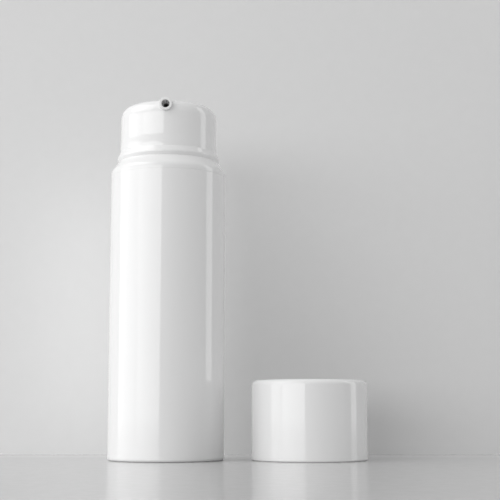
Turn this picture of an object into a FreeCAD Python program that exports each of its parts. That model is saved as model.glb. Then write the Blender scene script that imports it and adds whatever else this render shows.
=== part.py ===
import FreeCAD
import Part
import Sketcher
import math
import os

# Airless pump bottle: a gloss bottle with an inner cylinder and a rising follower piston, a spring
# pump under a round push head with a front nozzle, and its overcap standing beside it.
# Millimetres. The origin is the centre of the bottle's foot, +Z is up and the nozzle points to -Y.

SIZES = {
    # bottle, inner cylinder and base
    "body_radius": 20.0,
    "body_height": 98.0,
    "body_wall": 1.2,
    "base_edge_radius": 0.9,
    "foot_width": 2.6,
    "foot_recess": 1.0,
    "floor_thickness": 1.6,
    "vent_radius": 1.0,
    "seam_edge_radius": 0.05,
    "sleeve_gap": 0.15,
    "cylinder_wall": 1.15,
    "base_plug_thickness": 1.6,
    "base_plug_gap": 0.03,
    "breather_radius": 0.8,
    "breather_circle_radius": 8.0,
    # follower piston
    "follower_height": 10.0,
    "follower_lip_gap": 0.05,
    "follower_lip_height": 1.2,
    "follower_waist": 0.5,
    "follower_wall": 1.4,
    "follower_web_height": 2.4,
    "follower_web_thickness": 1.6,
    "follower_rest_gap": 0.2,
    # pump collar with the rounded shoulder
    "shoulder_height": 1.75,
    "shoulder_slope_height": 3.35,
    "shoulder_radius": 2.4,
    "groove_depth": 0.42,
    "groove_edge_radius": 0.15,
    "lip_inset": 2.1,
    "lip_undercut_height": 1.1,
    "lip_land": 0.45,
    "lip_edge_radius": 0.12,
    "cone_height": 1.75,
    "cone_inset": 0.75,
    "collar_rim_width": 0.12,
    "deck_rise": 1.4,
    "deck_thickness": 1.6,
    "plug_depth": 6.0,
    "plug_wall": 1.9,
    "plug_gap": 0.05,
    "seal_groove_depth": 0.7,
    "seal_groove_width": 1.1,
    "seal_drop": 2.6,
    # pump housing and what it holds
    "barrel_radius": 7.4,
    "barrel_gap": 0.2,
    "snap_bead": 0.5,
    "snap_height": 0.9,
    "chamber_radius": 6.0,
    "gasket_radius": 11.0,
    "gasket_thickness": 0.6,
    "flange_thickness": 1.2,
    "chamber_spare": 1.5,
    "inlet_wall": 1.6,
    "inlet_port_radius": 1.2,
    "inlet_port_length": 2.2,
    "ball_radius": 1.6,
    "ball_seat_gap": 0.05,
    "ball_side_gap": 0.6,
    "ball_lift": 0.8,
    "ball_top_gap": 0.3,
    "retainer_radius": 3.4,
    "retainer_thickness": 1.0,
    "retainer_gap": 0.02,
    "retainer_hole_radius": 0.5,
    "retainer_hole_circle": 1.7,
    "bush_radius": 9.5,
    "bush_thickness": 1.1,
    "bush_sleeve_length": 4.3,
    "bush_sleeve_gap": 0.02,
    # plunger: rod, piston and stem
    "stroke": 4.5,
    "stem_radius": 3.0,
    "stem_running_gap": 0.2,
    "stem_bore_radius": 1.3,
    "spring_flange_radius": 7.4,
    "spring_flange_thickness": 1.0,
    "piston_length": 4.8,
    "piston_lip_gap": 0.04,
    "piston_waist": 0.6,
    "piston_lip_height": 1.0,
    "piston_relief": 0.7,
    "piston_relief_height": 2.6,
    "piston_lag": 0.5,
    "piston_end_gap": 0.15,
    "piston_top_gap": 0.3,
    "rod_radius": 2.2,
    "rod_running_gap": 0.06,
    "rod_head_radius": 4.0,
    "rod_head_thickness": 1.2,
    "rod_bore_radius": 1.0,
    "rod_floor": 0.9,
    "rod_port_radius": 0.6,
    "rod_port_rise": 0.3,
    "spigot_radius": 1.9,
    "spigot_length": 4.2,
    "spigot_end_gap": 0.1,
    # push head
    "head_wall": 1.3,
    "head_rise": 16.4,
    "crown_rise": 0.3,
    "roof_thickness": 1.5,
    "corner_run": 0.9,
    "corner_rise": 3.8,
    "corner_lower_radius": 6.0,
    "corner_upper_radius": 3.6,
    "corner_inner_radius": 2.4,
    "flare": 0.14,
    "flare_height": 3.0,
    "flare_blend_radius": 15.0,
    "flare_foot_radius": 40.0,
    "flare_above_collar": 1.1,
    "skirt_overlap": 1.8,
    "skirt_gap": 0.05,
    "boss_wall": 1.4,
    "socket_depth": 4.2,
    "riser_radius": 1.2,
    "arm_width": 5.6,
    # nozzle
    "nozzle_drop": 2.1,
    "nozzle_radius": 2.25,
    "nozzle_bore_radius": 1.4,
    "nozzle_bore_depth": 3.5,
    "nozzle_stand_out": 1.0,
    "nozzle_seat_depth": 4.5,
    "nozzle_edge_radius": 0.25,
    "tail_radius": 1.7,
    "tail_length": 3.6,
    "tail_gap": 0.02,
    "channel_radius": 1.0,
    # return spring
    "spring_radius": 5.9,
    "wire_radius": 0.4,
    "spring_room": 10.1,
    "spring_end_gap": 0.1,
    "spring_turns": 4.5,
    # overcap, standing mouth down beside the bottle
    "cap_distance": 9.3,
    "cap_height": 27.2,
    "cap_wall": 1.2,
    "cap_roof": 1.5,
    "cap_edge_radius": 1.7,
    "cap_rim_radius": 0.6,
    "liner_ledge": 0.5,
    "liner_lift": 0.6,
    "liner_height": 12.4,
    "lip_clearance": 0.1,
    "liner_wall": 0.68,
    "liner_gap": 0.02,
    "bead_height": 0.8,
    "bead_lift": 1.0,
    "bead_depth": 0.18,
}

SHEET = "Sizes"
BREATHER_COUNT = 6
RETAINER_HOLE_COUNT = 3
ARCS_PER_TURN = 4
FULL_TURN = 360.0
TOLERANCE = 1e-4
SPRING_PROBES_PER_ARC = 6
ORIGIN_INDEX = (-1, 1)
HORIZONTAL_INDEX = -1
VERTICAL_INDEX = -2
NODES = []

doc = FreeCAD.newDocument("airless_pump_bottle")


class Size:
    """A length together with the sheet expression that drives it."""

    def __init__(self, number, text):
        self.number = number
        self.text = text

    def __add__(self, other):
        return Size(self.number + other.number, f"({self.text} + {other.text})")

    def __sub__(self, other):
        return Size(self.number - other.number, f"({self.text} - {other.text})")

    def __mul__(self, factor):
        return Size(self.number * factor, f"({self.text} * {factor})")

    def __truediv__(self, factor):
        return Size(self.number / factor, f"({self.text} / {factor})")


ZERO = Size(0.0, "0")


def fill_sheet():
    """Write the driving sizes to the sheet, one alias for each."""
    sheet = doc.addObject("Spreadsheet::Sheet", SHEET)
    for row, (alias, number) in enumerate(SIZES.items(), start=1):
        sheet.set(f"A{row}", alias)
        sheet.set(f"B{row}", str(number))
        sheet.setAlias(f"B{row}", alias)
    doc.recompute()
    return sheet


def size(alias):
    """Return the named size of the sheet."""
    return Size(float(sheet.get(alias)), f"{SHEET}.{alias}")


def new_body(label):
    """Start a sub-part."""
    body = doc.addObject("PartDesign::Body", label)
    body.Label = label
    NODES.append(body)
    return body


def origin_plane(body, role):
    """Return the body's own origin plane with this role."""
    return next(item for item in body.Origin.OriginFeatures if item.Role == role)


def new_sketch(body, name, role, offset=None):
    """Attach a sketch to one of the body's origin planes, moved along the plane's normal."""
    sketch = body.newObject("Sketcher::SketchObject", name)
    sketch.AttachmentSupport = [(origin_plane(body, role), "")]
    sketch.MapMode = "FlatFace"
    if offset is not None:
        sketch.AttachmentOffset = FreeCAD.Placement(FreeCAD.Vector(0, 0, offset.number), FreeCAD.Rotation())
        sketch.setExpression("AttachmentOffset.Base.z", offset.text)
    return sketch


def pin_point(sketch, geometry, end, across, up):
    """Fix a point of the sketch at sizes measured from the sketch's origin."""
    rules = (("DistanceX", across, VERTICAL_INDEX), ("DistanceY", up, HORIZONTAL_INDEX))
    for kind, distance, axis in rules:
        if distance is ZERO:
            sketch.addConstraint(Sketcher.Constraint("PointOnObject", geometry, end, axis))
            continue
        index = sketch.addConstraint(Sketcher.Constraint(kind, *ORIGIN_INDEX, geometry, end, distance.number))
        sketch.setExpression(f"Constraints[{index}]", distance.text)


def draw_outline(sketch, corners):
    """Draw a closed outline through (radius, height) sizes, rounded where a corner has a third size."""
    places = [FreeCAD.Vector(corner[0].number, corner[1].number, 0) for corner in corners]
    count = len(corners)
    starts = list(places)
    ends = list(places)
    for index, corner in enumerate(corners):
        if len(corner) > 2:
            ends[index], starts[index] = tangent_points(places, index, corner[2].number)
    for index in range(count):
        sketch.addGeometry(Part.LineSegment(starts[index], ends[(index + 1) % count]), False)
    for index, corner in enumerate(corners):
        before = (index - 1) % count
        if len(corner) > 2:
            round_corner(sketch, before, index, places[index], ends[index], starts[index], corner)
        else:
            sketch.addConstraint(Sketcher.Constraint("Coincident", before, 2, index, 1))
            pin_point(sketch, index, 1, corner[0], corner[1])


def tangent_points(places, index, radius):
    """Return where a corner's arc leaves the side before it and joins the side after it."""
    place = places[index]
    back = (places[index - 1] - place).normalize()
    onward = (places[(index + 1) % len(places)] - place).normalize()
    length = radius / math.tan(back.getAngle(onward) / 2)
    return place + back * length, place + onward * length


def round_corner(sketch, before, after, place, leave, join, corner):
    """Join two sides by a tangent arc, and keep their corner as a construction point."""
    radius = corner[2]
    inward = ((leave + join) / 2 - place).normalize()
    half_chord = (join - leave).Length / 2
    depth = math.sqrt(radius.number ** 2 - half_chord ** 2)
    centre = (leave + join) / 2 + inward * depth
    turns_left = (place - leave).cross(join - place).z > 0
    first, last = (leave, join) if turns_left else (join, leave)
    angles = [math.atan2(point.y - centre.y, point.x - centre.x) for point in (first, last)]
    circle = Part.Circle(centre, FreeCAD.Vector(0, 0, 1), radius.number)
    arc = sketch.addGeometry(Part.ArcOfCircle(circle, *angles), False)
    point = sketch.addGeometry(Part.Point(place), True)
    leave_end, join_end = (1, 2) if turns_left else (2, 1)
    sketch.addConstraint(Sketcher.Constraint("Tangent", before, 2, arc, leave_end))
    sketch.addConstraint(Sketcher.Constraint("Tangent", after, 1, arc, join_end))
    rule = sketch.addConstraint(Sketcher.Constraint("Radius", arc, radius.number))
    sketch.setExpression(f"Constraints[{rule}]", radius.text)
    pin_point(sketch, point, 1, corner[0], corner[1])
    for side in (before, after):
        sketch.addConstraint(Sketcher.Constraint("PointOnObject", point, 1, side))


def draw_circle(sketch, radius, across=ZERO, up=ZERO):
    """Draw a circle about a point of the sketch."""
    centre = FreeCAD.Vector(across.number, up.number, 0)
    index = sketch.addGeometry(Part.Circle(centre, FreeCAD.Vector(0, 0, 1), radius.number), False)
    rule = sketch.addConstraint(Sketcher.Constraint("Radius", index, radius.number))
    sketch.setExpression(f"Constraints[{rule}]", radius.text)
    pin_point(sketch, index, 3, across, up)


def revolve(body, corners):
    """Turn a (radius, height) outline about the body's own Z axis."""
    sketch = new_sketch(body, f"{body.Label}_profile", "XZ_Plane")
    draw_outline(sketch, corners)
    turned = body.newObject("PartDesign::Revolution", f"{body.Label}_turned")
    turned.Profile = sketch
    turned.ReferenceAxis = (sketch, ["V_Axis"])
    turned.Angle = FULL_TURN
    doc.recompute()


def cut(body, sketch, length, reverse, both_ways=False):
    """Pocket a sketch and make sure that it removes material."""
    before = body.Tip.Shape.Volume
    pocket = body.newObject("PartDesign::Pocket", f"{sketch.Name}_cut")
    pocket.Profile = sketch
    pocket.Length = length.number
    pocket.setExpression("Length", length.text)
    pocket.Reversed = reverse
    pocket.Refine = False
    pocket.Midplane = both_ways
    doc.recompute()
    if pocket.Shape.Volume > before - TOLERANCE:
        raise RuntimeError(f"{sketch.Name} cut nothing")
    return pocket


def cut_forward(body, name, radius, up, start, length):
    """Drill towards the front (-Y) at one height, from a start distance in front of the axis."""
    sketch = new_sketch(body, name, "XZ_Plane", start)
    draw_circle(sketch, radius, ZERO, up)
    return cut(body, sketch, length, True)


def repeat_about_axis(body, feature, count):
    """Repeat a cut evenly about the body's Z axis."""
    pattern = body.newObject("PartDesign::PolarPattern", f"{feature.Name}_ring")
    pattern.Originals = [feature]
    axis = next(item for item in body.Origin.OriginFeatures if item.Role == "Z_Axis")
    pattern.Axis = (axis, [""])
    pattern.Angle = FULL_TURN
    pattern.Occurrences = count
    body.Tip = pattern
    doc.recompute()


def make_bottle_body():
    body = new_body("bottle_body")
    revolve(body, [
        (foot_inner, ZERO),
        (body_outer, ZERO, size("base_edge_radius")),
        (body_outer, body_top, size("seam_edge_radius")),
        (body_inner, body_top),
        (body_inner, floor_top),
        (vent_edge, floor_top),
        (vent_edge, recess_top),
        (foot_inner, recess_top),
    ])


def make_inner_cylinder():
    body = new_body("inner_cylinder")
    revolve(body, [
        (bore, floor_top),
        (cylinder_outer, floor_top),
        (cylinder_outer, body_top),
        (bore, body_top),
    ])


def make_base_plug():
    body = new_body("base_plug")
    radius = bore - size("base_plug_gap")
    revolve(body, [
        (vent_edge, floor_top),
        (radius, floor_top),
        (radius, plug_top),
        (vent_edge, plug_top),
    ])
    sketch = new_sketch(body, "breather", "XY_Plane", plug_top)
    draw_circle(sketch, size("breather_radius"), size("breather_circle_radius"), ZERO)
    hole = cut(body, sketch, size("base_plug_thickness"), False)
    repeat_about_axis(body, hole, BREATHER_COUNT)


def make_follower_piston():
    body = new_body("follower_piston")
    bottom = plug_top + size("follower_rest_gap")
    top = bottom + size("follower_height")
    lip = bore - size("follower_lip_gap")
    waist = lip - size("follower_waist")
    inside = waist - size("follower_wall")
    lip_height = size("follower_lip_height")
    web_bottom = bottom + size("follower_web_height")
    web_top = web_bottom + size("follower_web_thickness")
    revolve(body, [
        (ZERO, web_bottom),
        (inside, web_bottom),
        (waist, bottom),
        (lip, bottom),
        (lip, bottom + lip_height),
        (waist, bottom + lip_height * 2),
        (waist, top - lip_height * 2),
        (lip, top - lip_height),
        (lip, top),
        (waist, top),
        (inside, web_top),
        (ZERO, web_top),
    ])


def make_pump_collar():
    body = new_body("pump_collar")
    plug_outer = bore - size("plug_gap")
    plug_inner = bore - size("plug_wall")
    seat_radius = plug_outer - size("seal_groove_depth")
    revolve(body, [
        (body_outer, body_top, size("seam_edge_radius")),
        (body_outer, shoulder_corner, size("shoulder_radius")),
        (groove_radius, shoulder_top, size("groove_edge_radius")),
        (lip_radius, lip_low, size("lip_edge_radius")),
        (lip_radius, lip_high, size("lip_edge_radius")),
        (collar_rim, collar_top),
        (collar_bore, collar_top),
        (collar_bore, deck_top),
        (barrel_hole, deck_top),
        (barrel_hole, deck_bottom),
        (plug_inner, deck_bottom),
        (plug_inner, plug_bottom),
        (plug_outer, plug_bottom),
        (plug_outer, seal_low),
        (seat_radius, seal_low),
        (seat_radius, seal_high),
        (plug_outer, seal_high),
        (plug_outer, body_top),
    ])


def make_collar_seal():
    body = new_body("collar_seal")
    seat_radius = bore - size("plug_gap") - size("seal_groove_depth")
    section = (bore - seat_radius) / 2
    sketch = new_sketch(body, "collar_seal_section", "XZ_Plane")
    draw_circle(sketch, section, seat_radius + section, (seal_low + seal_high) / 2)
    turned = body.newObject("PartDesign::Revolution", "collar_seal_turned")
    turned.Profile = sketch
    turned.ReferenceAxis = (sketch, ["V_Axis"])
    turned.Angle = FULL_TURN
    doc.recompute()


def make_pump_gasket():
    body = new_body("pump_gasket")
    revolve(body, [
        (barrel_hole, deck_top),
        (size("gasket_radius"), deck_top),
        (size("gasket_radius"), gasket_top),
        (barrel_hole, gasket_top),
    ])


def make_pump_housing():
    body = new_body("pump_housing")
    barrel = size("barrel_radius")
    bead = barrel + size("snap_bead")
    inlet_outer = retainer_outer + size("inlet_wall")
    pocket = size("ball_radius") + size("ball_side_gap")
    revolve(body, [
        (inlet_port, housing_bottom),
        (inlet_outer, housing_bottom),
        (inlet_outer, retainer_low),
        (barrel, chamber_floor),
        (barrel, deck_bottom - size("snap_height")),
        (bead, deck_bottom),
        (barrel, deck_bottom),
        (barrel, gasket_top),
        (size("gasket_radius"), gasket_top),
        (size("gasket_radius"), flange_top),
        (chamber_bore, flange_top),
        (chamber_bore, chamber_floor),
        (retainer_outer, chamber_floor),
        (retainer_outer, retainer_low),
        (pocket, retainer_low),
        (pocket, ball_floor),
        (inlet_port, ball_floor),
    ])


def make_inlet_ball():
    ball = doc.addObject("Part::Sphere", "inlet_ball")
    ball.Label = "inlet_ball"
    ball.setExpression("Radius", size("ball_radius").text)
    ball.setExpression("Placement.Base.z", ball_centre.text)
    NODES.append(ball)
    doc.recompute()


def make_ball_retainer():
    body = new_body("ball_retainer")
    radius = retainer_outer - size("retainer_gap")
    revolve(body, [
        (ZERO, retainer_low),
        (radius, retainer_low),
        (radius, chamber_floor),
        (ZERO, chamber_floor),
    ])
    sketch = new_sketch(body, "retainer_hole", "XY_Plane", chamber_floor)
    draw_circle(sketch, size("retainer_hole_radius"), size("retainer_hole_circle"), ZERO)
    hole = cut(body, sketch, size("retainer_thickness"), False)
    repeat_about_axis(body, hole, RETAINER_HOLE_COUNT)


def make_stem_bush():
    body = new_body("stem_bush")
    bush_bore = stem_outer + size("stem_running_gap")
    sleeve = chamber_bore - size("bush_sleeve_gap")
    revolve(body, [
        (bush_bore, sleeve_bottom),
        (sleeve, sleeve_bottom),
        (sleeve, flange_top),
        (size("bush_radius"), flange_top),
        (size("bush_radius"), bush_top),
        (bush_bore, bush_top),
    ])


def make_pump_piston():
    body = new_body("pump_piston")
    lip = chamber_bore - size("piston_lip_gap")
    waist = lip - size("piston_waist")
    lip_height = size("piston_lip_height")
    rod_hole = size("rod_radius") + size("rod_running_gap")
    relief = rod_hole + size("piston_relief")
    relief_top = piston_bottom + size("piston_relief_height")
    revolve(body, [
        (relief, piston_bottom),
        (lip, piston_bottom),
        (lip, piston_bottom + lip_height),
        (waist, piston_bottom + lip_height * 2),
        (waist, piston_top - lip_height * 2),
        (lip, piston_top - lip_height),
        (lip, piston_top),
        (rod_hole, piston_top),
        (rod_hole, relief_top),
        (relief, relief_top),
    ])


def make_piston_rod():
    body = new_body("piston_rod")
    head = size("rod_head_radius")
    shaft = size("rod_radius")
    rod_bore = size("rod_bore_radius")
    bore_bottom = rod_head_top + size("rod_floor")
    port_height = bore_bottom + size("rod_port_radius") + size("rod_port_rise")
    revolve(body, [
        (ZERO, rod_head_bottom),
        (head, rod_head_bottom),
        (head, rod_head_top),
        (shaft, rod_head_top),
        (shaft, rod_shoulder),
        (size("spigot_radius"), rod_shoulder),
        (size("spigot_radius"), spigot_top),
        (rod_bore, spigot_top),
        (rod_bore, bore_bottom),
        (ZERO, bore_bottom),
    ])
    sketch = new_sketch(body, "rod_port", "YZ_Plane")
    draw_circle(sketch, size("rod_port_radius"), ZERO, port_height)
    cut(body, sketch, shaft * 4, False, True)


def make_upper_stem():
    body = new_body("upper_stem")
    counterbore = size("spigot_radius") + size("rod_running_gap")
    counterbore_top = spigot_top + size("spigot_end_gap")
    stem_bore = size("stem_bore_radius")
    revolve(body, [
        (counterbore, stem_bottom),
        (stem_outer, stem_bottom),
        (stem_outer, spring_ceiling),
        (size("spring_flange_radius"), spring_ceiling),
        (size("spring_flange_radius"), boss_bottom),
        (stem_outer, boss_bottom),
        (stem_outer, socket_top),
        (stem_bore, socket_top),
        (stem_bore, counterbore_top),
        (counterbore, counterbore_top),
    ])


def make_actuator():
    body = new_body("actuator")
    inside = head_radius - size("head_wall")
    corner_run = size("corner_run")
    corner_low = head_top - size("corner_rise")
    flare_low = collar_top + size("flare_above_collar")
    boss = stem_outer + size("boss_wall")
    riser = size("riser_radius")
    revolve(body, [
        (inside, skirt_bottom),
        (skirt_radius, skirt_bottom),
        (skirt_radius, flare_low, size("flare_foot_radius")),
        (head_radius, flare_low + size("flare_height"), size("flare_blend_radius")),
        (head_radius, corner_low, size("corner_lower_radius")),
        (head_radius - corner_run, head_top, size("corner_upper_radius")),
        (ZERO, crown),
        (ZERO, nozzle_height),
        (riser, nozzle_height),
        (riser, socket_top),
        (stem_outer, socket_top),
        (stem_outer, boss_bottom),
        (boss, boss_bottom),
        (boss, roof_under),
        (inside - corner_run, roof_under, size("corner_inner_radius")),
        (inside, corner_low),
    ])
    add_nozzle_arm(body, inside, corner_run)
    seat_depth = size("nozzle_seat_depth")
    tail_start = nozzle_seat - size("tail_length")
    cut_forward(body, "nozzle_seat_hole", size("nozzle_radius"), nozzle_height, nozzle_seat, seat_depth)
    cut_forward(body, "tail_hole", size("tail_radius"), nozzle_height, tail_start, size("tail_length"))
    cut_forward(body, "channel", size("channel_radius"), nozzle_height, ZERO, tail_start)


def add_nozzle_arm(body, inside, corner_run):
    """Add the arm under the roof that carries the channel from the stem socket to the nozzle."""
    half = size("arm_width") / 2
    low = nozzle_height - half
    middle = (roof_under + crown) / 2
    sketch = new_sketch(body, "nozzle_arm", "XZ_Plane", size("riser_radius"))
    draw_outline(sketch, [(half * -1, low), (half, low), (half, middle), (half * -1, middle)])
    arm = body.newObject("PartDesign::Pad", "nozzle_arm_pad")
    arm.Profile = sketch
    arm.Refine = False
    reach = inside - corner_run - size("riser_radius") + size("head_wall") / 2
    arm.Length = reach.number
    arm.setExpression("Length", reach.text)
    doc.recompute()


def make_nozzle_tip():
    body = new_body("nozzle_tip")
    tail_end = nozzle_seat - size("tail_length")
    tail = size("tail_radius") - size("tail_gap")
    channel = size("channel_radius")
    bore_end = nozzle_reach - size("nozzle_bore_depth")
    revolve(body, [
        (channel, tail_end),
        (tail, tail_end),
        (tail, nozzle_seat),
        (size("nozzle_radius"), nozzle_seat),
        (size("nozzle_radius"), nozzle_reach, size("nozzle_edge_radius")),
        (size("nozzle_bore_radius"), nozzle_reach),
        (size("nozzle_bore_radius"), bore_end),
        (channel, bore_end),
    ])
    # the tip is turned upright and then laid forward, so that its own Z becomes -Y
    body.Placement = FreeCAD.Placement(
        FreeCAD.Vector(0, 0, nozzle_height.number),
        FreeCAD.Rotation(FreeCAD.Vector(1, 0, 0), FULL_TURN / 4),
    )
    body.setExpression("Placement.Base.z", nozzle_height.text)
    doc.recompute()


def arc_from_tangent(start, tangent, end):
    """Return the arc that leaves start along tangent and ends at end."""
    chord = end - start
    along = FreeCAD.Vector(chord).normalize()
    side = tangent - along * tangent.dot(along)
    sagitta = chord.Length / 2 * math.tan(tangent.getAngle(chord) / 2)
    middle = start + chord / 2 + side.normalize() * sagitta
    return Part.Arc(start, middle, end)


def biarc(start, start_way, end, end_way):
    """Return two arcs, tangent to each other, that join two points along given ways."""
    span = end - start
    ways = start_way + end_way
    square = 2 * (1 - start_way.dot(end_way))
    linear = 2 * span.dot(ways)
    reach = (-linear + math.sqrt(linear ** 2 + 4 * square * span.dot(span))) / (2 * square)
    joint = (start + end + (start_way - end_way) * reach) / 2
    first = arc_from_tangent(start, start_way, joint)
    back = arc_from_tangent(end, end_way * -1, joint)
    second = Part.Arc(joint, back.value((back.FirstParameter + back.LastParameter) / 2), end)
    return [first, second]


def make_return_spring():
    radius = size("spring_radius").number
    wire = size("wire_radius").number
    turns = size("spring_turns").number
    gap = size("spring_end_gap").number
    bottom = bush_top.number + wire + gap
    top = spring_ceiling.number - wire - gap
    steps = round(turns * ARCS_PER_TURN)
    sweep = 2 * math.pi * turns / steps
    straight = 2 * wire
    # the straight ends rise at the helix's own slope, inside the same height
    rise = (top - bottom) / (2 * math.pi * radius * turns + 2 * straight)
    flat = 1 / math.sqrt(1 + rise ** 2)
    first_height = bottom + straight * rise
    step_rise = radius * sweep * rise

    def point(step):
        angle = sweep * step
        height = first_height + step_rise * step
        return FreeCAD.Vector(radius * math.cos(angle), radius * math.sin(angle), height)

    def way(step):
        angle = sweep * step
        return FreeCAD.Vector(-math.sin(angle) * flat, math.cos(angle) * flat, rise * flat)

    lead_in = point(0) - way(0) * straight
    lead_out = point(steps) + way(steps) * straight
    curves = [Part.LineSegment(lead_in, point(0))]
    for step in range(steps):
        curves.extend(biarc(point(step), way(step), point(step + 1), way(step + 1)))
    curves.append(Part.LineSegment(point(steps), lead_out))
    path = Part.Wire([curve.toShape() for curve in curves])
    section = Part.Wire([Part.Circle(lead_in, way(0), wire).toShape()])
    spring = doc.addObject("Part::Feature", "return_spring")
    spring.Label = "return_spring"
    spring.Shape = path.makePipeShell([section], True, False)
    spring.Placement = FreeCAD.Placement()
    NODES.append(spring)
    print("return_spring least gap to itself", round(least_self_gap(path, wire, sweep * radius), 3), "mm")


def least_self_gap(path, wire, arc_length):
    """Measure the least gap between turns on points along the path."""
    count = round(path.Length / arc_length) * SPRING_PROBES_PER_ARC
    probes = path.discretize(Number=count)
    apart = 2 * ARCS_PER_TURN * SPRING_PROBES_PER_ARC // 3
    least = min(
        (probes[second] - probes[first]).Length
        for first in range(count)
        for second in range(first + apart, count)
    )
    return least - 2 * wire


def place_cap(body):
    """Stand a cap piece beside the bottle."""
    body.setExpression("Placement.Base.x", cap_place.text)
    doc.recompute()


def make_overcap():
    body = new_body("overcap")
    upper = cap_inner - size("liner_ledge")
    roof = size("cap_height") - size("cap_roof")
    revolve(body, [
        (cap_inner, ZERO),
        (cap_radius, ZERO, size("cap_rim_radius")),
        (cap_radius, size("cap_height"), size("cap_edge_radius")),
        (ZERO, size("cap_height")),
        (ZERO, roof),
        (upper, roof),
        (upper, liner_top),
        (cap_inner, liner_top),
    ])
    place_cap(body)


def make_overcap_liner():
    body = new_body("overcap_liner")
    bottom = size("liner_lift")
    bead = liner_inner - size("bead_depth")
    bead_low = bottom + size("bead_lift")
    bead_mid = bead_low + size("bead_height") / 2
    bead_high = bead_low + size("bead_height")
    revolve(body, [
        (liner_inner, bottom),
        (liner_outer, bottom),
        (liner_outer, liner_top),
        (liner_inner, liner_top),
        (liner_inner, bead_high),
        (bead, bead_mid),
        (liner_inner, bead_low),
    ])
    place_cap(body)


def check_and_write():
    """Stop on any failed object, then write one file for each sub-part."""
    doc.recompute()
    for item in doc.Objects:
        if "Invalid" in item.State or "Error" in item.State:
            raise RuntimeError(f"{item.Label} failed: {item.State}")
    os.makedirs("parts", exist_ok=True)
    for node in NODES:
        if node.Shape.isNull() or not node.Shape.isValid():
            raise RuntimeError(f"{node.Label} has no valid shape")
    for node in NODES:
        node.Shape.exportStep(f"parts/{node.Label}.step")
        box = node.Shape.optimalBoundingBox()
        print(f"{node.Label}: {node.Shape.Volume:.1f} mm3, z {box.ZMin:.2f} to {box.ZMax:.2f}")


sheet = fill_sheet()

# radii that several pieces share
body_outer = size("body_radius")
body_inner = body_outer - size("body_wall")
foot_inner = body_outer - size("foot_width")
vent_edge = size("vent_radius")
cylinder_outer = body_inner - size("sleeve_gap")
bore = cylinder_outer - size("cylinder_wall")
lip_radius = body_outer - size("lip_inset")
groove_radius = lip_radius - size("groove_depth")
collar_rim = lip_radius - size("cone_inset")
collar_bore = collar_rim - size("collar_rim_width")
skirt_radius = collar_bore - size("skirt_gap")
head_radius = skirt_radius - size("flare")
nozzle_reach = head_radius + size("nozzle_stand_out")
nozzle_seat = nozzle_reach - size("nozzle_seat_depth")
barrel_hole = size("barrel_radius") + size("barrel_gap")
chamber_bore = size("chamber_radius")
retainer_outer = size("retainer_radius")
inlet_port = size("inlet_port_radius")
stem_outer = size("stem_radius")
liner_inner = lip_radius + size("lip_clearance")
liner_outer = liner_inner + size("liner_wall")
cap_inner = liner_outer + size("liner_gap")
cap_radius = cap_inner + size("cap_wall")
cap_place = body_outer + size("cap_distance") + cap_radius

# heights, upwards from the foot
recess_top = size("foot_recess")
floor_top = recess_top + size("floor_thickness")
plug_top = floor_top + size("base_plug_thickness")
body_top = size("body_height")
shoulder_corner = body_top + size("shoulder_height")
shoulder_top = shoulder_corner + size("shoulder_slope_height")
lip_low = shoulder_top + size("lip_undercut_height")
lip_high = lip_low + size("lip_land")
collar_top = lip_high + size("cone_height")
deck_top = body_top + size("deck_rise")
deck_bottom = deck_top - size("deck_thickness")
plug_bottom = body_top - size("plug_depth")
seal_high = body_top - size("seal_drop")
seal_low = seal_high - size("seal_groove_width")
gasket_top = deck_top + size("gasket_thickness")
flange_top = gasket_top + size("flange_thickness")
bush_top = flange_top + size("bush_thickness")
sleeve_bottom = flange_top - size("bush_sleeve_length")

# heights, downwards through the pump
piston_top = sleeve_bottom - size("piston_top_gap") - size("piston_lag")
piston_bottom = piston_top - size("piston_length")
rod_head_top = piston_bottom - size("piston_end_gap")
rod_head_bottom = rod_head_top - size("rod_head_thickness")
chamber_floor = rod_head_bottom - size("stroke") - size("chamber_spare")
retainer_low = chamber_floor - size("retainer_thickness")
ball_rise = Size(
    math.sqrt(size("ball_radius").number ** 2 - inlet_port.number ** 2),
    f"sqrt({size('ball_radius').text}^2 - {inlet_port.text}^2)",
)
ball_top_room = size("ball_radius") + size("ball_lift") + size("ball_top_gap")
ball_centre = retainer_low - ball_top_room
ball_floor = ball_centre - ball_rise - size("ball_seat_gap")
housing_bottom = ball_floor - size("inlet_port_length")

# heights, upwards through the plunger and the push head
stem_bottom = piston_top + size("piston_lag") + size("piston_end_gap")
rod_shoulder = stem_bottom - size("spigot_end_gap")
spigot_top = rod_shoulder + size("spigot_length")
spring_ceiling = bush_top + size("spring_room")
boss_bottom = spring_ceiling + size("spring_flange_thickness")
socket_top = boss_bottom + size("socket_depth")
skirt_bottom = collar_top - size("skirt_overlap")
head_top = collar_top + size("head_rise")
crown = head_top + size("crown_rise")
roof_under = head_top - size("roof_thickness")
nozzle_height = head_top - size("nozzle_drop")

# the overcap's own heights
liner_top = size("liner_lift") + size("liner_height")

make_bottle_body()
make_inner_cylinder()
make_base_plug()
make_follower_piston()
make_pump_collar()
make_collar_seal()
make_pump_gasket()
make_pump_housing()
make_inlet_ball()
make_ball_retainer()
make_stem_bush()
make_return_spring()
make_piston_rod()
make_pump_piston()
make_upper_stem()
make_actuator()
make_nozzle_tip()
make_overcap()
make_overcap_liner()
check_and_write()
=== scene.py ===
import math

import bmesh
import bpy
from mathutils import Matrix, Vector


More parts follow.
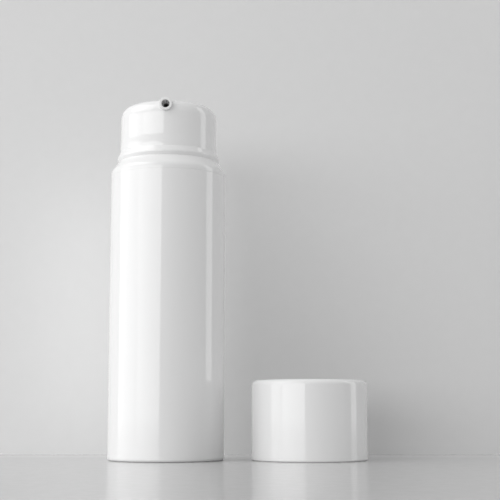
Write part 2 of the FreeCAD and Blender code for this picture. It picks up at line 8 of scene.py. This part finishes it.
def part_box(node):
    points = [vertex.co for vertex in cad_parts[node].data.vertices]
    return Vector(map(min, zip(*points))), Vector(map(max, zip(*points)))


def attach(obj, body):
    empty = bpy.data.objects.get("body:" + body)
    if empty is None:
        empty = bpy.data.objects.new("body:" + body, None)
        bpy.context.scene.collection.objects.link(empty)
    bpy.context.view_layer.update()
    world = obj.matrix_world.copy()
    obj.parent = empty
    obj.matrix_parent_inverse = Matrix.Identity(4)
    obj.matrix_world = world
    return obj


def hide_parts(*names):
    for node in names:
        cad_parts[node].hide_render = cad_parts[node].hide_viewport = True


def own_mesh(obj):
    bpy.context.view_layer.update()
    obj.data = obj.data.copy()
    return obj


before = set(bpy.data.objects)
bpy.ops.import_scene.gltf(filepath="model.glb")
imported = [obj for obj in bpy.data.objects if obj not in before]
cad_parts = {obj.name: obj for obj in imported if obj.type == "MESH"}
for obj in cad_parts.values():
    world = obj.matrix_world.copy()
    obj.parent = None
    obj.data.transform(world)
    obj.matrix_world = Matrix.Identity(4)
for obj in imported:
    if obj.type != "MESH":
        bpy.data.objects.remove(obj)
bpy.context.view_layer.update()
scene = bpy.context.scene
scene.view_settings.view_transform = "Standard"

MM = 0.001


# ---------------------------------------------------------------- shader maths

class Shade:
    """A socket in a node tree. Operators between shades and numbers add Math nodes."""

    def __init__(self, tree, socket=None):
        self.tree = tree
        self.socket = socket

    def node(self, kind, settings, inputs, output=0):
        """Adds any node: its settings first, then the values or links of its sockets."""
        made = self.tree.nodes.new(kind)
        for name, setting in settings.items():
            setattr(made, name, setting)
        for place, given in inputs.items():
            if isinstance(given, Shade):
                self.tree.links.new(given.socket, made.inputs[place])
            else:
                made.inputs[place].default_value = given
        return Shade(self.tree, made.outputs[output] if made.outputs else None)

    def beside(self, output):
        """Another output of the node that this shade comes from."""
        return Shade(self.tree, self.socket.node.outputs[output])

    def maths(self, operation, *terms):
        given = dict(enumerate((self,) + terms))
        return self.node("ShaderNodeMath", {"operation": operation}, given)

    def __add__(self, other):
        return self.maths("ADD", other)

    __radd__ = __add__

    def __sub__(self, other):
        return self.maths("SUBTRACT", other)

    def __rsub__(self, other):
        return self * -1.0 + other

    def __mul__(self, other):
        return self.maths("MULTIPLY", other)

    __rmul__ = __mul__

    def ramp(self, low, high):
        """0 up to low, 1 from high on, and a smooth rise between."""
        limits = {"Value": self, "From Min": low, "From Max": high}
        return self.node("ShaderNodeMapRange", {"interpolation_type": "SMOOTHSTEP"}, limits)


# A Mix node's sockets for colours, which share their names with those for numbers.
MIX_FACTOR, MIX_ONE, MIX_OTHER, MIX_COLOUR = 0, 6, 7, 2
SOFT_DETAIL, FINE_DETAIL = 3.0, 4.0


def place_on_piece(shade):
    """The point on the piece, in metres, in the frame of the whole part."""
    return shade.node("ShaderNodeTexCoord", {}, {}, "Object")


def cloudy(shade, place, grain, detail=SOFT_DETAIL, stretch=None):
    """Soft noise from 0 to 1. The grain is the size of its spots in metres."""
    if stretch:
        place = shade.node("ShaderNodeMapping", {}, {"Vector": place, "Scale": stretch})
    given = {"Vector": place, "Scale": 1.0 / grain, "Detail": detail}
    return shade.node("ShaderNodeTexNoise", {}, given)


def tint(shade, factor, one, other):
    """A colour between two colours, each of them three numbers or a shade."""
    ends = [end if isinstance(end, Shade) else end + (1.0,) for end in (one, other)]
    given = {MIX_FACTOR: factor, MIX_ONE: ends[0], MIX_OTHER: ends[1]}
    return shade.node("ShaderNodeMix", {"data_type": "RGBA"}, given, MIX_COLOUR)


def grey(level):
    return (level, level, level)


def new_finish(name):
    """An empty material and the shade that its nodes start from."""
    finish = bpy.data.materials.new(name)
    finish.use_nodes = True
    finish.node_tree.nodes.clear()
    return finish, Shade(finish.node_tree)


def surface(shade, colour, roughness, height=None, depth=0.0, **constants):
    """The surface shader. Height times depth, in metres, is its fine relief."""
    given = {"Base Color": colour, "Roughness": roughness, **constants}
    if height:
        relief = {"Height": height, "Strength": 1.0, "Distance": depth}
        given["Normal"] = shade.node("ShaderNodeBump", {}, relief)
    return shade.node("ShaderNodeBsdfPrincipled", {}, given)


def put_out(shade, shader):
    shade.node("ShaderNodeOutputMaterial", {}, {"Surface": shader})


# ---------------------------------------------------------------- finishes

GLOSS_DULL, GLOSS_PALE = grey(0.85), grey(0.87)
GLOSS_IOR = 1.5
SHELL_FLOW_GRAIN, SHELL_FLOW_STRETCH = 22 * MM, (1.0, 1.0, 0.35)
SHELL_HAZE_GRAIN, SHELL_ROUGH = 9 * MM, 0.045
NOZZLE_FLOW_GRAIN = 6 * MM
NOZZLE_HAZE_GRAIN, NOZZLE_ROUGH = 3 * MM, 0.05
HAZE_DETAIL, HAZE_LOW, HAZE_HIGH, HAZE_ROUGH = 5.0, 0.35, 0.75, 0.035
PEEL_GRAIN, PEEL_DETAIL, PEEL_DEPTH = 0.9 * MM, 1.5, 0.0004 * MM

# The outlet bore: its radius, the soft edge of its painted shade, and the depths between which the
# painted shade darkens it.
BORE_RADIUS = 1.4 * MM
BORE_EDGE_LOW, BORE_EDGE_HIGH = 0.02 * MM, 0.06 * MM
BORE_LIGHT_DEPTH, BORE_DARK_DEPTH = 1.6 * MM, 7.0 * MM
BORE_PAINTED_SHADE, BORE_ROUGH = grey(0.22), 0.3

MILKY_GRAIN = 5 * MM
NATURAL_SKIN_ROUGH, NATURAL_DEPTH, NATURAL_IOR = 0.16, 0.004 * MM, 1.49
INNER_DULL, INNER_PALE = (0.74, 0.74, 0.72), (0.8, 0.8, 0.79)
INNER_ROUGH, INNER_GRAIN = 0.3, 0.3 * MM
PISTON_DULL, PISTON_PALE = (0.7, 0.73, 0.75), (0.77, 0.79, 0.8)
PISTON_ROUGH, PISTON_GRAIN = 0.38, 0.2 * MM

SEAL_DULL, SEAL_PALE = (0.7, 0.7, 0.68), (0.8, 0.8, 0.78)
BLOOM_GRAIN, BLOOM_DETAIL, BLOOM_LOW, BLOOM_HIGH = 1.6 * MM, 6.0, 0.35, 0.8
SEAL_GRAIN, SEAL_DEPTH = 0.12 * MM, 0.006 * MM
SEAL_ROUGH, SEAL_SKIN_ROUGH = 0.62, 0.2

STEEL_DARK, STEEL_PALE = (0.56, 0.56, 0.57), (0.68, 0.67, 0.66)
MARK_GRAIN, MARK_STRETCH, MARK_DEPTH = 0.25 * MM, (1.0, 1.0, 6.0), 0.002 * MM
STEEL_HAZE_GRAIN = 2 * MM
STEEL_ROUGH, MARK_ROUGH = 0.16, 0.14


def gloss_skin(shade, place, flow, haze_grain, rough):
    """Colour, roughness and orange peel of polished white plastic with a handling haze."""
    haze = cloudy(shade, place, haze_grain, detail=HAZE_DETAIL)
    peel = cloudy(shade, place, PEEL_GRAIN, detail=PEEL_DETAIL)
    white = tint(shade, flow, GLOSS_DULL, GLOSS_PALE)
    roughness = rough + HAZE_ROUGH * haze.ramp(HAZE_LOW, HAZE_HIGH)
    return white, roughness, peel


def gloss_white(name):
    """Polished white moulded plastic, with faint clouds where it flowed up the mould."""
    finish, shade = new_finish(name)
    place = place_on_piece(shade)
    flow = cloudy(shade, place, SHELL_FLOW_GRAIN, stretch=SHELL_FLOW_STRETCH)
    white, roughness, peel = gloss_skin(shade, place, flow, SHELL_HAZE_GRAIN, SHELL_ROUGH)
    put_out(shade, surface(shade, white, roughness, peel, PEEL_DEPTH, IOR=GLOSS_IOR))
    return finish


def outlet_white(name, axis_height, mouth):
    """The head's white, with painted shade that darkens it with depth inside the outlet bore."""
    finish, shade = new_finish(name)
    place = place_on_piece(shade)
    across = shade.node("ShaderNodeSeparateXYZ", {}, {"Vector": place}, "X")
    along = across.beside("Y")
    up = across.beside("Z") - axis_height
    off_axis = (across * across + up * up).maths("SQRT")
    outside = off_axis.ramp(BORE_RADIUS + BORE_EDGE_LOW, BORE_RADIUS + BORE_EDGE_HIGH)
    deep = along.ramp(mouth + BORE_LIGHT_DEPTH, mouth + BORE_DARK_DEPTH)
    # Painted shade: the bore's wall is darkened with depth, standing in for the shade inside the
    # hole. The same mask also roughens it.
    bore_shade_mask = (1.0 - outside) * deep
    flow = cloudy(shade, place, NOZZLE_FLOW_GRAIN)
    white, roughness, peel = gloss_skin(shade, place, flow, NOZZLE_HAZE_GRAIN, NOZZLE_ROUGH)
    colour = tint(shade, bore_shade_mask, white, BORE_PAINTED_SHADE)
    roughness = roughness + BORE_ROUGH * bore_shade_mask
    put_out(shade, surface(shade, colour, roughness, peel, PEEL_DEPTH, IOR=GLOSS_IOR))
    return finish


def natural_plastic(name, dull, pale, rough, grain):
    """Uncoloured moulded plastic with a satin, finely grained skin."""
    finish, shade = new_finish(name)
    place = place_on_piece(shade)
    milky = cloudy(shade, place, MILKY_GRAIN, detail=FINE_DETAIL)
    skin = cloudy(shade, place, grain, detail=FINE_DETAIL)
    colour = tint(shade, milky, dull, pale)
    roughness = rough + NATURAL_SKIN_ROUGH * skin
    put_out(shade, surface(shade, colour, roughness, skin, NATURAL_DEPTH, IOR=NATURAL_IOR))
    return finish


def seal_rubber(name):
    """White matt elastomer with a dusty bloom."""
    finish, shade = new_finish(name)
    place = place_on_piece(shade)
    bloom = cloudy(shade, place, BLOOM_GRAIN, detail=BLOOM_DETAIL)
    skin = cloudy(shade, place, SEAL_GRAIN)
    colour = tint(shade, bloom.ramp(BLOOM_LOW, BLOOM_HIGH), SEAL_DULL, SEAL_PALE)
    roughness = SEAL_ROUGH + SEAL_SKIN_ROUGH * skin
    put_out(shade, surface(shade, colour, roughness, skin, SEAL_DEPTH))
    return finish


def drawn_steel(name):
    """Stainless steel with fine drawing marks."""
    finish, shade = new_finish(name)
    place = place_on_piece(shade)
    marks = cloudy(shade, place, MARK_GRAIN, detail=FINE_DETAIL, stretch=MARK_STRETCH)
    haze = cloudy(shade, place, STEEL_HAZE_GRAIN)
    colour = tint(shade, haze, STEEL_DARK, STEEL_PALE)
    roughness = STEEL_ROUGH + MARK_ROUGH * marks
    put_out(shade, surface(shade, colour, roughness, marks, MARK_DEPTH, Metallic=1.0))
    return finish


def dress(finish, *names):
    """Gives CAD nodes a finish in place of their plain one."""
    for name in names:
        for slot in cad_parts[name].material_slots:
            slot.material = finish


nozzle_low, nozzle_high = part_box("nozzle_tip")
nozzle_axis = (nozzle_low.z + nozzle_high.z) / 2
inner_natural = natural_plastic(
    "inner_natural", INNER_DULL, INNER_PALE, INNER_ROUGH, INNER_GRAIN)
piston_natural = natural_plastic(
    "piston_natural", PISTON_DULL, PISTON_PALE, PISTON_ROUGH, PISTON_GRAIN)
steel = drawn_steel("steel")

dress(gloss_white("shell_white"), "bottle_body", "pump_collar")
dress(gloss_white("head_white"), "actuator")
dress(outlet_white("nozzle_white", nozzle_axis, nozzle_low.y), "nozzle_tip")
dress(gloss_white("cap_white"), "overcap")
dress(inner_natural, "overcap_liner", "inner_cylinder", "base_plug", "pump_housing",
      "ball_retainer", "stem_bush", "piston_rod", "upper_stem")
dress(piston_natural, "follower_piston", "pump_piston")
dress(seal_rubber("rubber"), "collar_seal", "pump_gasket")
dress(steel, "return_spring", "inlet_ball")


# ---------------------------------------------------------------- return spring

SPRING_WIRE = 0.8 * MM
SPRING_TURNS = 4.5
STEPS_PER_TURN = 40
WIRE_SIDES = 14
SIDES_OF_SKIN_FACE = 4


def into_scene(mesh, name, finish):
    """Makes an object of a bmesh."""
    data = bpy.data.meshes.new(name)
    mesh.to_mesh(data)
    mesh.free()
    data.materials.append(finish)
    made = bpy.data.objects.new(name, data)
    scene.collection.objects.link(made)
    return made


def wound_spring(name, finish, low, high):
    """A wire coil wound from the bottom of a box to its top, round the bottle's axis."""
    steps = int(SPRING_TURNS * STEPS_PER_TURN)
    wire = SPRING_WIRE / 2
    start = Vector((high.x - wire, 0.0, low.z + wire))
    rise = (high.z - low.z - SPRING_WIRE) / steps
    mesh = bmesh.new()
    upright = Matrix.Translation(start) @ Matrix.Rotation(math.pi / 2, 4, "X")
    bmesh.ops.create_circle(mesh, segments=WIRE_SIDES, radius=wire, matrix=upright)
    bmesh.ops.spin(mesh, geom=mesh.verts[:] + mesh.edges[:], axis=(0.0, 0.0, 1.0),
                   cent=(0.0, 0.0, 0.0), dvec=(0.0, 0.0, rise),
                   angle=2 * math.pi * SPRING_TURNS, steps=steps)
    open_ends = [edge for edge in mesh.edges if edge.is_boundary]
    bmesh.ops.holes_fill(mesh, edges=open_ends, sides=WIRE_SIDES)
    bmesh.ops.recalc_face_normals(mesh, faces=mesh.faces[:])
    for face in mesh.faces:
        face.smooth = len(face.verts) == SIDES_OF_SKIN_FACE
    return into_scene(mesh, name, finish)


# The spring, between the stem's bush and its flange, is wound at one length and fixed to the
# bottle; the real one shortens as the head goes down.
spring_low, spring_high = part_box("return_spring")
spring = wound_spring("wound_spring", steel, spring_low, spring_high)
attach(spring, "bottle")
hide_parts("return_spring")
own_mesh(spring)


# ---------------------------------------------------------------- floor and backdrop

STAGE_CENTRE = Vector((29 * MM, 0.0, 0.0))
FLOOR_HALF = 1500 * MM
WALL_BEHIND = 55 * MM
WALL_HALF = 230 * MM
WALL_TOP = 420 * MM

# The floor's colour grows paler from here to the wall: painted light that brightens the floor next
# to the backdrop.
PAINTED_LIGHT_FROM = 15 * MM
FLOOR_LEVEL, FLOOR_PAINTED_LIGHT_LEVEL, FLOOR_ROUGH = 0.52, 0.58, 0.15
WALL_LEVEL, WALL_ROUGH = 0.76, 0.5
FIBRE_GRAIN, FIBRE_ROUGH = 4 * MM, 0.03
FIBRE_DARK, FIBRE_LIFT = 0.985, 0.03
PAINT_IOR = 1.5

# Each sheet fades out between two distances from its centre, measured with these weights.
FLOOR_FADE_WEIGHTS, FLOOR_FADE_FROM, FLOOR_FADE_TO = (1.0, 1.0, 0.0), 500 * MM, 1400 * MM
WALL_FADE_WEIGHTS, WALL_FADE_FROM, WALL_FADE_TO = (1.0, 0.0, 0.7), 140 * MM, 220 * MM


def stage_finish(name, back_level, rough, fade_weights, fade_from, fade_to):
    """Pale painted sheet, with painted light that makes the floor paler towards the wall. It has
    one side, and its far edges fade out.
    """
    finish, shade = new_finish(name)
    place = place_on_piece(shade)
    fibre = cloudy(shade, place, FIBRE_GRAIN, detail=FINE_DETAIL)
    depth = shade.node("ShaderNodeSeparateXYZ", {}, {"Vector": place}, "Y")
    # Painted light: the colour rises from the floor's level to a paler one towards the wall.
    back = depth.ramp(PAINTED_LIGHT_FROM, WALL_BEHIND)
    level = FLOOR_LEVEL + (back_level - FLOOR_LEVEL) * back
    colour = level * (FIBRE_DARK + FIBRE_LIFT * fibre)
    roughness = rough + FIBRE_ROUGH * fibre
    paint = surface(shade, colour, roughness, IOR=PAINT_IOR)
    centred = shade.node(
        "ShaderNodeVectorMath", {"operation": "SUBTRACT"}, {0: place, 1: STAGE_CENTRE})
    weighed = shade.node(
        "ShaderNodeVectorMath", {"operation": "MULTIPLY"}, {0: centred, 1: fade_weights})
    reach = shade.node("ShaderNodeVectorMath", {"operation": "LENGTH"}, {0: weighed}, "Value")
    behind = shade.node("ShaderNodeNewGeometry", {}, {}, "Backfacing")
    gone = reach.ramp(fade_from, fade_to).maths("MAXIMUM", behind)
    clear = shade.node("ShaderNodeBsdfTransparent", {}, {})
    put_out(shade, shade.node("ShaderNodeMixShader", {}, {0: gone, 1: paint, 2: clear}))
    return finish


def sheet(name, finish, half_width, foot, pull, facing):
    """A flat sheet, pulled from an edge that is centred on its foot."""
    mesh = bmesh.new()
    across = Vector((half_width, 0.0, 0.0))
    edge = mesh.edges.new([mesh.verts.new(foot - across), mesh.verts.new(foot + across)])
    pulled = bmesh.ops.extrude_edge_only(mesh, edges=[edge])["geom"]
    moved = [part for part in pulled if isinstance(part, bmesh.types.BMVert)]
    bmesh.ops.translate(mesh, verts=moved, vec=pull)
    mesh.normal_update()
    turned = [face for face in mesh.faces if face.normal.dot(facing) < 0.0]
    bmesh.ops.reverse_faces(mesh, faces=turned)
    into_scene(mesh, name, finish)


floor_paint = stage_finish("floor_paint", FLOOR_PAINTED_LIGHT_LEVEL, FLOOR_ROUGH,
                           FLOOR_FADE_WEIGHTS, FLOOR_FADE_FROM, FLOOR_FADE_TO)
wall_paint = stage_finish("wall_paint", WALL_LEVEL, WALL_ROUGH,
                          WALL_FADE_WEIGHTS, WALL_FADE_FROM, WALL_FADE_TO)
sheet("floor", floor_paint, FLOOR_HALF, foot=STAGE_CENTRE - Vector((0.0, FLOOR_HALF, 0.0)),
      pull=Vector((0.0, 2 * FLOOR_HALF, 0.0)), facing=Vector((0.0, 0.0, 1.0)))
sheet("backdrop", wall_paint, WALL_HALF, foot=STAGE_CENTRE + Vector((0.0, WALL_BEHIND, 0.0)),
      pull=Vector((0.0, 0.0, WALL_TOP)), facing=Vector((0.0, -1.0, 0.0)))


# ---------------------------------------------------------------- light and camera

PANEL_DISTANCE = 2.0
# Azimuth and elevation in degrees, width and height in metres, and brightness.
PANELS = {
    "left_panel_front": (-33.0, 9.0, 1.745, 0.7, 2.8),
    "left_panel_side": (-81.0, 9.0, 1.745, 0.7, 1.9),
    "top_panel": (-72.0, 44.0, 2.0, 1.2, 2.35),
    "right_strip": (95.0, 21.0, 0.58, 2.0, 1.8),
}
WALL_LAMP = (-125.0, 52.0, 0.03, 0.09, 0.33)
WALL_LAMP_DISTANCE = 72 * MM
WALL_LAMP_AIM = Vector((-35 * MM, WALL_BEHIND, 57 * MM))

# The room's light on the part, and its level where it is seen or mirrored.
ROOM_BRIGHT, ROOM_SEEN = 0.455, 0.63

CAMERA_PLACE = Vector((28.83, -417.6, 16.6)) * MM
CAMERA_TILT = math.radians(97.64)
CAMERA_LENS, CAMERA_SENSOR = 86.58, 36.0
CAMERA_NEAREST = 10 * MM


def heading(azimuth, elevation):
    """The direction out from the part. Azimuth 0 is to the camera, and 90 to its right."""
    a, e = math.radians(azimuth), math.radians(elevation)
    return Vector((math.sin(a) * math.cos(e), -math.cos(a) * math.cos(e), math.sin(e)))


def soft_panel(name, azimuth, elevation, width, height, brightness, distance, aim):
    """A rectangular lamp that faces its aim. Brightness is that of its lit face."""
    lamp = bpy.data.lights.new(name, "AREA")
    lamp.shape = "RECTANGLE"
    lamp.size, lamp.size_y = width, height
    lamp.energy = brightness * math.pi * width * height
    panel = bpy.data.objects.new(name, lamp)
    panel.location = heading(azimuth, elevation) * distance
    panel.rotation_euler = (aim - panel.location).to_track_quat("-Z", "Y").to_euler()
    panel.visible_camera = False
    scene.collection.objects.link(panel)
    return panel


for panel_name, placing in PANELS.items():
    soft_panel(panel_name, *placing, distance=PANEL_DISTANCE, aim=Vector())

# A small lamp beside the bottle lights the backdrop, and isn't mirrored in the gloss.
wall_lamp = soft_panel("wall_lamp", *WALL_LAMP, distance=WALL_LAMP_DISTANCE, aim=WALL_LAMP_AIM)
wall_lamp.visible_glossy = False

world = bpy.data.worlds.new("room")
world.use_nodes = True
world.node_tree.nodes.clear()
room = Shade(world.node_tree)
direct = room.node("ShaderNodeLightPath", {}, {}, "Is Camera Ray")
seen = direct.maths("MAXIMUM", direct.beside("Is Glossy Ray"))
seen = seen.maths("MAXIMUM", direct.beside("Is Transmission Ray"))
strength = ROOM_BRIGHT + (ROOM_SEEN - ROOM_BRIGHT) * seen
white_room = {"Color": grey(1.0) + (1.0,), "Strength": strength}
room.node("ShaderNodeOutputWorld", {},
          {"Surface": room.node("ShaderNodeBackground", {}, white_room)})
scene.world = world

lens = bpy.data.cameras.new("camera")
lens.lens, lens.sensor_width = CAMERA_LENS, CAMERA_SENSOR
lens.clip_start = CAMERA_NEAREST
camera = bpy.data.objects.new("camera", lens)
camera.location = CAMERA_PLACE
camera.rotation_euler = (CAMERA_TILT, 0.0, 0.0)
scene.collection.objects.link(camera)
scene.camera = camera
